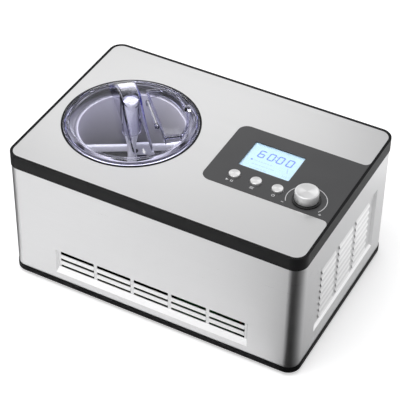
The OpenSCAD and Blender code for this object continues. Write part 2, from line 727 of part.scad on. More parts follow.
module condenser_fins() color("#c3c6c9") {
    for (k = [-13:13]) translate([condenser_x, k * 5 - 2, 22]) rotate([90, 0, 0]) linear_extrude(0.4)
        difference() {
            translate([-13, 0]) square([26, 126]);
            for (j = [0:pass_count - 1]) translate(pass_at(j) - [condenser_x, 22]) circle(tube_r + 0.2);
        }
}
function pass_at(j) = [condenser_x + (j % 2 == 0 ? -5.5 : 5.5), 31 + j * 12];
function side_of(j) = j % 2 == 0 ? 1 : -1;
// The bend at the end of pass j, a half circle to the start of the next pass.
function bend_at(j) = let (
    a = pass_at(j),
    b = pass_at(j + 1),
    r = norm(b - a) / 2
) [for (k = [1:3]) let (p = (a + b) / 2 + (a - b) / 2 * cos(45 * k))
    [p.x, side_of(j) * (pass_end + r * sin(45 * k)), p.y]];
condenser_path = concat(smooth(outlet_path, 2), [for (j = [0:pass_count - 1]) let (p = pass_at(j))
    each concat(
    [[p.x, -side_of(j) * pass_end, p.y], [p.x, side_of(j) * pass_end, p.y]],
    j < pass_count - 1 ? bend_at(j) : []
)]);
module condenser_tube() color(copper) {
    tube(condenser_path, tube_r);
}
module fan_shroud() color(black) {
    translate([fan_x + 8, fan_yz.x, fan_yz.y]) along_x() linear_extrude(2.4) difference() {
        translate([-74, -66]) square([148, 130]);
        circle(57);
    }
    translate([fan_x - 6, fan_yz.x, fan_yz.y]) along_x() pipe(57, 59.4, 16.4);
    for (a = [45:90:315]) translate([fan_x - 8.4, fan_yz.x, fan_yz.y]) rotate([a, 0, 0])
        translate([0, 25, -3]) cube([2.4, 34, 6]);
}
module fan_blade() color("#d8d9da") {
    translate([fan_x, fan_yz.x, fan_yz.y]) {
        difference() {
            translate([-5, 0, 0]) along_x() cylinder(r = 15, h = 11);
            translate([-5 - eps, 0, 0]) along_x() cylinder(r = 12.5, h = 9);
        }
        translate([-12, 0, 0]) along_x() cylinder(r = 1.6, h = 17);
        for (k = [0:fan_blades - 1]) rotate([k * 360 / fan_blades, 0, 0])
            translate([0, 0, 14]) rotate([0, 0, 28]) translate([-0.7, -8, 0]) cube([1.4, 16, 40]);
    }
}
module fan_motor() color("#9a9da1") {
    translate([fan_x - 30, fan_yz.x, fan_yz.y]) difference() {
        union() {
            along_x() cylinder(r = 26, h = 20);
            translate([19, 0, 0]) along_x() cylinder(r = 6, h = 4);
            translate([18, 0, 0]) along_x() pipe(20, 28, 3.6);
        }
        translate([14, 0, 0]) along_x() cylinder(r = 1.65, h = 12);
    }
}
module filter_drier() color(copper) {
    translate([140, -104, 30]) rotate_extrude()
        polygon([[0, 0], [3, 0], [9, 10], [9, 62], [3, 74], [0, 74]]);
}
module discharge_line() color(copper) {
    tube(smooth([[78, 18, 134.3], [78, 17, 150], [84, 8, 164], [110, -6, 168], [150, -40, 168],
        [184, -78, 160], [190.5, -84, 148], [190.5, -80, 141], [190.5, -68.5, 139]], 3), 2.4);
}
module capillary_tube() color(copper) {
    tube(smooth([[140, -104, 104.4], [139, -104, 112], [120, -112, 122], [60, -118, 122], [12, -112, 118],
        [6, -70, 112], [6, -34, 104], [0, -15, 98], [-14, -14.5, 97], [-22, -12.5, 96.8],
        [-24, -7.2, 96.7]], 4), 1.2);
}
module suction_line() color(copper) {
    tube(smooth([[-24.2, -6.1, 180], [-24.1, -3.4, 180], [-20.5, -0.9, 180], [-12, 0, 180],
        [4, 0.6, 178], [20, 12, 168], [36, 22, 158], [44, 26, 146], [44, 26, 134.3]], 4), 3.2);
}

// ---- electrics ----
module cord_gland() color(black) {
    translate([gland_xz.x, case_y - case_t, gland_xz.y]) rotate([-90, 0, 0]) difference() {
        union() {
            translate([0, 0, -12]) cylinder(r = 6.9, h = 12 + eps);
            cylinder(r = 9.5, h = 1.5);
            translate([0, 0, -4]) cylinder(r = 9, h = 2.9);
        }
        translate([0, 0, -13]) cylinder(r = 3.6, h = 16);
    }
}
module power_board() color("#2f6b45") {
    translate([66, -98, 16]) {
        slab(96, 56, 1.6, 2);
        for (sx = [-1, 1], sy = [-1, 1])
            translate([sx * 42, sy * 22, -7]) cylinder(r = 3, h = 7.2);
        translate([-26, 6, 1.4]) slab(30, 26, 22, 2);
        translate([8, -10, 1.4]) cylinder(r = 8, h = 26);
        translate([30, 8, 1.4]) slab(16, 20, 16, 1);
        translate([8, 16, 1.4]) slab(22, 8, 10, 1);
    }
}
module wiring() color("#8a2f2a") {
    tube(smooth([[96, -90, 33.6], [100, -88, 60], [104, -70, 120], [104, -30, 168], [101, -6, 176],
        [100, 0, 180], [100, 1, 184.8]], 3), 2);
    tube(smooth([[23, -98, 21], [4, -96, 20], [-20, -72, 18], [-36, -48, 20], [-40, -37.7, 24]], 3), 1.8);
    tube(smooth([[74, -82, 28.2], [78, -66, 40], [122, -52, 64], [128, -34, 78], [128, -27, 80]], 3), 1.6);
    tube(smooth([[115, -104, 24], [124, -60, 16], [128, 30, 16], [134, 100, 24], [150, 118, 42],
        [150, 126, 45]], 3), 3);
}

outer_case();
rear_panel();
base_pan();
feet();
foot_screws();
rear_screws();
top_frame();
top_plate();
lid_ring();
control_panel();
display_lens();
lcd_module();
control_board();
tact_switches();
board_screws();
start_button();
menu_button();
power_button();
dial_collar();
dial_encoder();
encoder_shaft();
dial_knob();
lid_gasket();
lid();
flap_pin();
filler_flap();
bowl();
well();
evaporator_coil();
well_insulation();
temperature_sensor();
shaft_seal();
paddle();
drive_shaft();
drive_gear();
drive_bush();
idler_gear();
idler_pin();
motor_pinion();
drive_motor();
gear_housing();
gear_cover();
gearbox_screws();
compressor();
compressor_relay();
compressor_grommets();
compressor_bolts();
condenser_fins();
condenser_tube();
fan_shroud();
fan_blade();
fan_motor();
filter_drier();
discharge_line();
capillary_tube();
suction_line();
cord_gland();
power_board();
wiring();
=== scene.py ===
"""Looks of a countertop ice cream maker with a built-in compressor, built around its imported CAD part."""

import math

import bmesh
import bpy
from bpy.props import FloatProperty, FloatVectorProperty, IntProperty, PointerProperty
from mathutils import Matrix, Vector


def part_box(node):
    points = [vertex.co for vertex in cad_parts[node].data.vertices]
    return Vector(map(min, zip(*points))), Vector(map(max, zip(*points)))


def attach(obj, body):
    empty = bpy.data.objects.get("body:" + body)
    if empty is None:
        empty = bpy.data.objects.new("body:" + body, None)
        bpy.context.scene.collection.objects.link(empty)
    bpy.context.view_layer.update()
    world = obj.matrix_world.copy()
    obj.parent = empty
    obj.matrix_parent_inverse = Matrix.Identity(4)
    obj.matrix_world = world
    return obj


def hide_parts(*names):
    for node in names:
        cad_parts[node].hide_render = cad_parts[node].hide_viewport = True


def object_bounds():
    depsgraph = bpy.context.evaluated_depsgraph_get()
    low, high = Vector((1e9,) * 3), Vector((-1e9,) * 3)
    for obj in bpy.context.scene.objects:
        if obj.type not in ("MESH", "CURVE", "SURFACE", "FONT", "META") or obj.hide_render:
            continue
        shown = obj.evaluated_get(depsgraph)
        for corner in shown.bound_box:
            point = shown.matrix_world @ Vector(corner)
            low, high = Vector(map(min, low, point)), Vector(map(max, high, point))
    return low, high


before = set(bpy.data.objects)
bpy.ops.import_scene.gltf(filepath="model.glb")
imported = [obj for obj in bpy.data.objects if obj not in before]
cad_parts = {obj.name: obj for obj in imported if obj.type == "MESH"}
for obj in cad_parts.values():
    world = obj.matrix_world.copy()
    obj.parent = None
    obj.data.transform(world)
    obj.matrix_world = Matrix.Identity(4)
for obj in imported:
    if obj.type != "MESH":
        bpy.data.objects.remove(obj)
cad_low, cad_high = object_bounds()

bl_info = {
    "name": "Ice Cream Maker",
    "version": (1, 0, 0),
    "blender": (4, 5, 0),
    "location": "View3D > Sidebar > Ice Cream Maker",
    "description": "Builds the finished look of a compressor ice cream maker",
    "category": "Add Mesh",
}

# Lengths are in millimetres, and MM turns them into metres where they reach Blender.
MM = 0.001
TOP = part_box("control_panel")[1].z / MM
LID_X, LID_Y = ((a + b) / 2 / MM for a, b in zip(*(v.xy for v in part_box("lid_ring"))))
DIAL_X, DIAL_Y = ((a + b) / 2 / MM for a, b in zip(*(v.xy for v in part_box("dial_knob"))))
BUTTONS = {
    name: ((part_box(name + "_button")[0].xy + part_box(name + "_button")[1].xy) / 2 / MM)
    for name in ("start", "menu", "power")
}
SCREEN_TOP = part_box("lcd_module")[1].z / MM
HANDLE_TURN = -47  # degrees from +X to the low end of the lid's handle
HANDLE_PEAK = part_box("lid")[1].z / MM - TOP
HANDLE_HALF = 13.5  # half the handle's width
HANDLE_RUN = 82  # from the lid's centre to each end of the handle
HANDLE_WALL = 2.4
FLAP_LINE = 28.5  # from the lid's centre to the flap's hinge line
FLAP_Z = 8  # height of the hinge line above the top
PADDLE_TURN = 31  # degrees from +X to the paddle's cross bar
BOWL_FLOOR, BOWL_RIM = 93.5, 196  # heights inside the bowl
LIP_START, LIP_END = 72.5, 73.3  # radii between which the bowl's wall turns into its rim; beyond them the bowl's colour gets painted shade
CORNER = 18  # radius of the case's upright corners
HOOD_FACE, HOOD_EDGE = 3.2, 2.7  # depths below the side's outermost plane between which a louvre's painted highlight goes from partial to full
SIDE_ZONE = 11, 10  # depths between which the painted louvre highlight goes from the front's, on every upward slope, to the side's
HORIZON = ((0.0, 1.0), (1.0, 0.62), (0.16, 1.0), (0.34, 0.36), (0.656, 0.51))  # the room's light by height
CORNER_STOPS = ((-162, 0), (-136, 0.13), (-113, 0.36), (-84, 1), (-45, 1), (-8, 0.85), (38, 0.42), (80, 0.1),
                (100, 0))
LEFT_STOPS = ((-90, 0), (-63, 0.9), (8, 0.9), (28, 0.35), (46, 0))
VEIL_STOPS = ((0, 0.2), (0.45, 0.2), (0.75, 0))
CAMERA_PLACE = 0.729309, -1.405376, 1.483366
CAMERA_TURN, CAMERA_RISE, CAMERA_ROLL = 27.48, 41.02, 1.05  # degrees
METAL = (0.92, 0.92, 0.92)  # buttons and dial


# ---- materials ----


class Finish:
    """One material as it is being wired up from its nodes."""

    def __init__(self, name):
        self.material = bpy.data.materials.new(name)
        self.material.use_nodes = True
        self.nodes = self.material.node_tree.nodes
        self.links = self.material.node_tree.links
        self.nodes.clear()
        self.output = self.add("OutputMaterial")
        self.skin = self.add("BsdfPrincipled")
        self.link(self.skin, self.output)
        self.place = self.add("TexCoord").outputs["Object"]

    def add(self, kind, **settings):
        node = self.nodes.new("ShaderNode" + kind)
        for name, value in settings.items():
            setattr(node, name, value)
        return node

    def link(self, source, target, name=0):
        if hasattr(source, "outputs"):
            source = source.outputs[0]
        self.links.new(source, target.inputs[name] if hasattr(target, "inputs") else target)

    def set(self, **values):
        """Sets constant values on the shader's own sockets."""
        for name, value in values.items():
            self.skin.inputs[name.replace("_", " ")].default_value = value
        return self

    def stretched(self, stretch):
        mapping = self.add("Mapping")
        self.link(self.place, mapping)
        mapping.inputs["Scale"].default_value = stretch
        return mapping.outputs[0]

    def noise(self, scale, stretch=(1, 1, 1), detail=3, rough=0.55):
        node = self.add("TexNoise")
        node.inputs["Scale"].default_value = scale
        node.inputs["Detail"].default_value = detail
        node.inputs["Roughness"].default_value = rough
        self.link(self.stretched(stretch), node, "Vector")
        return node.outputs["Fac"]

    def between(self, source, low, high, start=0.3, end=0.7):
        node = self.add("MapRange")
        for name, value in zip(("From Min", "From Max", "To Min", "To Max"), (start, end, low, high)):
            node.inputs[name].default_value = value
        self.link(source, node)
        return node.outputs[0]

    def blend(self, source, low, high, start=0.3, end=0.7):
        ramp = self.add("ValToRGB").color_ramp
        ramp.elements[0].position, ramp.elements[0].color = start, (*low, 1)
        ramp.elements[1].position, ramp.elements[1].color = end, (*high, 1)
        node = self.nodes[-1]
        self.link(source, node)
        return node.outputs[0]

    def painted_louvre_highlight(self, source, colour):
        """Painted highlight: the source colour, turned to a brighter one where the louvres are stamped out and
        slope upward. On the sides only the louvres' outer edges turn fully, a stronger painted highlight there."""
        facing = self.add("SeparateXYZ")
        self.link(self.add("NewGeometry").outputs["Normal"], facing)
        slope = self.between(facing.outputs["Z"], 0, 1, 0.12, 0.32)
        side = self.add("SeparateXYZ")
        self.link(self.place, side)
        out = self.add("Math", operation="ABSOLUTE")
        self.link(side.outputs["X"], out)
        proud = self.between(out, 0.45, 1, *(cad_high.x - depth * MM for depth in (HOOD_FACE, HOOD_EDGE)))
        front = self.between(out, 1, 0, *(cad_high.x - depth * MM for depth in SIDE_ZONE))
        either = self.add("Math", operation="MAXIMUM")
        self.link(proud, either, 0)
        self.link(front, either, 1)
        # Where the painted louvre highlight is laid on the colour.
        both = self.add("Math", operation="MULTIPLY")
        self.link(slope, both, 0)
        self.link(either, both, 1)
        mixed = self.add("MixRGB")
        mixed.inputs["Color2"].default_value = (*colour, 1)
        self.link(both, mixed, "Fac")
        self.link(source, mixed, "Color1")
        self.link(mixed, self.skin, "Base Color")

    def bump(self, source, depth, strength=1.0):
        node = self.add("Bump")
        node.inputs["Distance"].default_value = depth * MM
        node.inputs["Strength"].default_value = strength
        self.link(source, node, "Height")
        return node.outputs[0]


def shade(colour, factor):
    """The colour made lighter or darker, kept within white."""
    return tuple(min(1.0, c * factor) for c in colour[:3])


def grained(name, colour, rough, metal=0.0, grain=900, stretch=(1, 1, 1), depth=0.02, vary=0.08,
            spread=0.06, broad=18, specular=0.5, coat=0.0):
    """A finish with a fine grain, broad colour variation and roughness that follows the fine grain."""
    f = Finish(name)
    fine = f.noise(grain, stretch)
    wide = f.noise(broad, (1, 1, 1), 2)
    f.link(f.blend(wide, shade(colour, 1 - vary), shade(colour, 1 + vary)), f.skin, "Base Color")
    f.link(f.between(fine, rough - spread, rough + spread), f.skin, "Roughness")
    f.link(f.bump(fine, depth, 0.6), f.skin, "Normal")
    f.set(Metallic=metal, Specular_IOR_Level=specular)
    if coat:
        f.set(Coat_Weight=coat, Coat_Roughness=0.12)
    return f


def brushed(name, colour, rough, along, depth=0.006, vary=0.05):
    """Sheet metal brushed in one direction; along is 'x' or 'level'."""
    f = Finish(name)
    fine_stretch = (6, 900, 900) if along == "x" else (6, 6, 900)
    wide_stretch = (2, 90, 90) if along == "x" else (2, 2, 90)
    fine = f.noise(1, fine_stretch, 4, 0.7)
    wide = f.noise(1, wide_stretch, 3)
    mixed = f.add("Math", operation="MULTIPLY_ADD")
    f.link(fine, mixed, 0)
    mixed.inputs[1].default_value = 0.7
    scaled = f.add("Math", operation="MULTIPLY")
    f.link(wide, scaled, 0)
    scaled.inputs[1].default_value = 0.3
    f.link(scaled, mixed, 2)
    # On level-brushed sheet the upward-sloping louvre faces get a painted highlight in white.
    f.painted_louvre_highlight(f.blend(mixed, shade(colour, 1 - vary), shade(colour, 1 + vary), 0.25, 0.75),
              (1, 1, 1) if along == "level" else colour)
    f.link(f.between(mixed, rough - 0.03, rough + 0.03), f.skin, "Roughness")
    f.link(f.bump(fine, depth, 0.5), f.skin, "Normal")
    f.set(Metallic=1.0)
    return f


def spun(name, colour, rough, centre, radius_step=0.9):
    """Turned metal: fine rings about an upright axis, and painted highlights in the colour that fan out from it.
    """
    f = Finish(name)
    shift = f.add("Mapping")
    f.link(f.place, shift)
    shift.inputs["Location"].default_value = (-centre[0] * MM, -centre[1] * MM, 0)
    rings = f.add("TexWave", wave_type="RINGS", rings_direction="Z", wave_profile="SIN")
    rings.inputs["Scale"].default_value = 1 / (radius_step * MM) / 6.28
    rings.inputs["Distortion"].default_value = 0.6
    rings.inputs["Detail"].default_value = 3
    rings.inputs["Detail Scale"].default_value = 40
    f.link(shift.outputs[0], rings, "Vector")
    fan = f.add("TexGradient", gradient_type="RADIAL")
    f.link(shift.outputs[0], fan, "Vector")
    # Painted highlight: the colour turns lighter and darker in two fans each round the axis, as spun metal's
    # highlights fall.
    painted_fan_highlight = f.add("Math", operation="SINE")
    turn = f.add("Math", operation="MULTIPLY_ADD")
    f.link(fan, turn, 0)
    turn.inputs[1].default_value = 4 * math.pi
    turn.inputs[2].default_value = 0.9
    f.link(turn, painted_fan_highlight)
    f.link(f.blend(painted_fan_highlight.outputs[0], shade(colour, 0.9), shade(colour, 1.08), 0.0, 1.0), f.skin, "Base Color")
    f.link(f.between(rings.outputs["Fac"], rough - 0.05, rough + 0.05, 0, 1), f.skin, "Roughness")
    f.link(f.bump(rings.outputs["Fac"], 0.01, 0.5), f.skin, "Normal")
    f.set(Metallic=0.8, Anisotropic=0.4)
    tangent = f.add("Tangent", direction_type="RADIAL", axis="Z")
    f.link(tangent, f.skin, "Tangent")
    return f


def clear(name, tint, ior, absorb=0.0, absorb_tint=(0.34, 0.34, 0.95)):
    """Clear moulding: glassy to the eye, and open to the lamps so that what is inside is lit."""
    f = Finish(name)
    ripple = f.noise(25, (1, 1, 1), 1)
    f.link(f.blend(ripple, shade(tint, 0.995), tint), f.skin, "Base Color")
    f.link(f.between(ripple, 0.02, 0.04), f.skin, "Roughness")
    f.set(Transmission_Weight=1.0, IOR=ior)
    path = f.add("LightPath")
    through = f.add("BsdfTransparent")
    through.inputs[0].default_value = (*shade(tint, 0.995), 1)
    either = f.add("MixShader")
    f.link(path.outputs["Is Shadow Ray"], either, 0)
    f.link(f.skin, either, 1)
    f.link(through, either, 2)
    f.link(either, f.output)
    if absorb:
        body = f.add("VolumeAbsorption")
        body.inputs["Color"].default_value = (*absorb_tint, 1)
        body.inputs["Density"].default_value = absorb
        f.link(body, f.output, "Volume")
    return f


def lit(name, colour, glow, grain=400):
    """A backlit or printed face: a faint grain in its colour, and light of its own."""
    f = Finish(name)
    f.link(f.blend(f.noise(grain), shade(colour, 0.97), shade(colour, 1.02)), f.skin, "Base Color")
    f.set(Roughness=0.5, Emission_Color=(*colour, 1), Emission_Strength=glow)
    return f


# ---- shapes ----


def skin(bm, rings, closed=True, joined=False, caps=True):
    """Faces between rings of points. closed closes each ring, joined runs the last ring into the first."""
    made = [[bm.verts.new(Vector(p) * MM) for p in ring] for ring in rings]
    count = len(made[0])
    pairs = list(zip(made, made[1:])) + ([(made[-1], made[0])] if joined else [])
    for a, b in pairs:
        for k in range(count if closed else count - 1):
            n = (k + 1) % count
            bm.faces.new((a[k], a[n], b[n], b[k]))
    if caps and not joined:
        bm.faces.new(made[0][::-1])
        bm.faces.new(made[-1])


def turned(bm, profile, centre, sides, z=0.0, wobble=None):
    """A profile of (radius, height) pairs turned about an upright axis. wobble adds to the radius of a point."""
    rings = []
    for k, (r, h) in enumerate(profile):
        ring = []
        for i in range(sides):
            a = 2 * math.pi * i / sides
            q = r + (wobble(k, i) if wobble else 0)
            ring.append((centre[0] + q * math.cos(a), centre[1] + q * math.sin(a), z + h))
        rings.append(ring)
    skin(bm, rings, joined=profile[0][0] > 0, caps=False)
    bmesh.ops.remove_doubles(bm, verts=bm.verts, dist=1e-7)


def plate(bm, outline, low, high):
    """A flat piece with this outline of (x, y) points, from height low to high."""
    skin(bm, [[(x, y, low) for x, y in outline], [(x, y, high) for x, y in outline]])


def bar(bm, a, b, width, low, high, ends=0):
    """A straight flat bar from a to b; ends rounds its two ends with that many points."""
    a, b = Vector(a), Vector(b)
    d = (b - a).normalized()
    s = Vector((-d.y, d.x)) * width / 2
    if ends:
        outline = []
        for at, start in ((b, -90), (a, 90)):
            for k in range(ends + 1):
                t = math.radians(start + 180 * k / ends)
                outline.append(at + d * math.cos(t) * width / 2 + s * math.sin(t))
    else:
        outline = [a - s, b - s, b + s, a + s]
    plate(bm, [(p.x, p.y) for p in outline], low, high)


def arc(bm, centre, radius, width, start, end, low, high, steps=48):
    """A flat ring segment, angles in degrees."""
    full = end - start >= 360
    rings = []
    for k in range(steps if full else steps + 1):
        t = math.radians(start + (end - start) * k / steps)
        c, s = math.cos(t), math.sin(t)
        r1, r2 = radius - width / 2, radius + width / 2
        rings.append([(centre[0] + r * c, centre[1] + r * s, h)
                      for r, h in ((r1, low), (r2, low), (r2, high), (r1, high))])
    skin(bm, rings, joined=full)


def disc(bm, centre, radius, low, high, sides):
    """A flat round piece."""
    plate(bm, [(centre[0] + radius * math.cos(2 * math.pi * k / sides),
                centre[1] + radius * math.sin(2 * math.pi * k / sides)) for k in range(sides)], low, high)


def piece(name, bm, finish, body, replaces=(), crease=35, smooth=True):
    """Puts a finished mesh in the scene, on its body."""
    bmesh.ops.recalc_face_normals(bm, faces=bm.faces)
    mesh = bpy.data.meshes.new(name)
    bm.to_mesh(mesh)
    bm.free()
    return placed(name, mesh, finish, body, replaces, crease, smooth)


def placed(name, mesh, finish, body, replaces=(), crease=35, smooth=True):
    """The same for a mesh that is already built."""
    mesh.materials.clear()
    mesh.materials.append(finish.material)
    obj = bpy.data.objects.new(name, mesh)
    bpy.context.scene.collection.objects.link(obj)
    if smooth:
        mesh.shade_smooth()
        mesh.set_sharp_from_angle(angle=math.radians(crease))
    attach(obj, body)
    if replaces:
        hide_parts(*replaces)
    return obj


def loose(name, bm):
    """A temporary object for joining and cutting."""
    bmesh.ops.recalc_face_normals(bm, faces=bm.faces)
    mesh = bpy.data.meshes.new(name)
    bm.to_mesh(mesh)
    bm.free()
    obj = bpy.data.objects.new(name, mesh)
    bpy.context.scene.collection.objects.link(obj)
    return obj


def carved(first, *steps):
    """The mesh left after each (operation, object) step on the first object; all of them are then removed."""
    for operation, other in steps:
        change = first.modifiers.new(operation, "BOOLEAN")
        change.operation, change.object, change.solver = operation, other, "EXACT"
    graph = bpy.context.evaluated_depsgraph_get()
    graph.update()
    mesh = bpy.data.meshes.new_from_object(first.evaluated_get(graph))
    for obj in (first, *(other for _, other in steps)):
        bpy.data.objects.remove(obj)
    return mesh


def dress(finish, *names, soften=0.0):
    """Gives CAD nodes their finish, and a small bevel on their hard edges where soften says."""
    for name in names:
        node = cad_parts[name]
        node.data.materials.clear()
        node.data.materials.append(finish.material)
        if soften:
            edge = node.modifiers.new("Softened edges", "BEVEL")
            edge.width, edge.segments, edge.limit_method = soften * MM, 2, "ANGLE"
            edge.angle_limit = math.radians(30)


def rounded_edges(bm, width, segments):
    """Rounds every hard edge of what is in bm so far."""
    bmesh.ops.recalc_face_normals(bm, faces=bm.faces)
    sharp = [e for e in bm.edges if len(e.link_faces) == 2 and e.calc_face_angle(0) > math.radians(50)]
    bmesh.ops.bevel(bm, geom=sharp, offset=width * MM, segments=segments, profile=0.5, affect="EDGES")


def on_lid(along, across, height=0.0):
    """A point of the lid, from its distances along and across the handle and its height above the top."""
    c, s = math.cos(math.radians(HANDLE_TURN)), math.sin(math.radians(HANDLE_TURN))
    return (LID_X + along * c - across * s, LID_Y + along * s + across * c, TOP + height)


def bezier(a, b, c, d, t):
    """A point of the cubic curve with these four control points."""
    u = 1 - t
    return tuple(p * u**3 + 3 * q * t * u * u + 3 * r * t * t * u + s * t**3 for p, q, r, s in zip(a, b, c, d))


# ---- settings ----


class FinishSettings(bpy.types.PropertyGroup):
    """Colours that a user would change."""

    steel: FloatVectorProperty(name="Case steel", description="Colour of the brushed case", subtype="COLOR",
                               size=3, min=0, max=1, default=(0.72, 0.72, 0.725))
    plate: FloatVectorProperty(name="Top plate", description="Colour of the satin top plate", subtype="COLOR",
                               size=3, min=0, max=1, default=(0.80, 0.80, 0.80))
    trim: FloatVectorProperty(name="Black trim", description="Colour of the black frame and base", subtype="COLOR",
                              size=3, min=0, max=1, default=(0.0085, 0.0085, 0.009))
    panel: FloatVectorProperty(name="Panel", description="Colour of the control panel", subtype="COLOR",
                               size=3, min=0, max=1, default=(0.055, 0.055, 0.057))
    lid: FloatVectorProperty(name="Lid tint", description="Tint of the clear lid", subtype="COLOR",
                             size=3, min=0, max=1, default=(0.99, 0.99, 1.0))
    screen: FloatVectorProperty(name="Screen", description="Colour of the backlit screen", subtype="COLOR",
                                size=3, min=0, max=1, default=(0.56, 0.79, 0.96))
    digits: FloatVectorProperty(name="Digits", description="Colour of the screen's digits", subtype="COLOR",
                                size=3, min=0, max=1, default=(0.10, 0.22, 0.78))


class SizeSettings(bpy.types.PropertyGroup):
    """Sizes of the details that the looks add to the CAD part."""

    print_height: FloatProperty(name="Print height", description="Thickness of printed marks", min=0.00002,
                                max=0.0005, default=0.0001, unit="LENGTH")
    arc_radius: FloatProperty(name="Dial arc", description="Radius of the arc printed round the dial",
                              min=0.02, max=0.03, default=0.0263, unit="LENGTH")
    digit_height: FloatProperty(name="Digit height", description="Height of the screen's digits",
                                min=0.005, max=0.02, default=0.015, unit="LENGTH")
    lid_sides: IntProperty(name="Lid sides", description="Facets round the lid", min=48, max=192, default=144)


class StageSettings(bpy.types.PropertyGroup):
    """Light and camera."""

    lens: FloatProperty(name="Lens", description="Focal length of the camera in millimetres", min=20, max=300,
                        default=140.85)
    sky: FloatProperty(name="Room light", description="Strength of the room's soft light", min=0, max=5,
                       default=1.0)
    key: FloatProperty(name="Key light", description="Power of the softbox behind the machine", min=0,
                       max=500, default=0.76, subtype="POWER")
    low: FloatProperty(name="Low light", description="Power of the strip behind that glints on the lid's handle",
                       min=0, max=500, default=6.0, subtype="POWER")
    top: FloatProperty(name="Top light", description="Power of the softbox overhead", min=0,
                       max=500, default=10, subtype="POWER")
    fill: FloatProperty(name="Fill light", description="Power of the softbox in front", min=0, max=500,
                        default=3, subtype="POWER")


# ---- operators ----


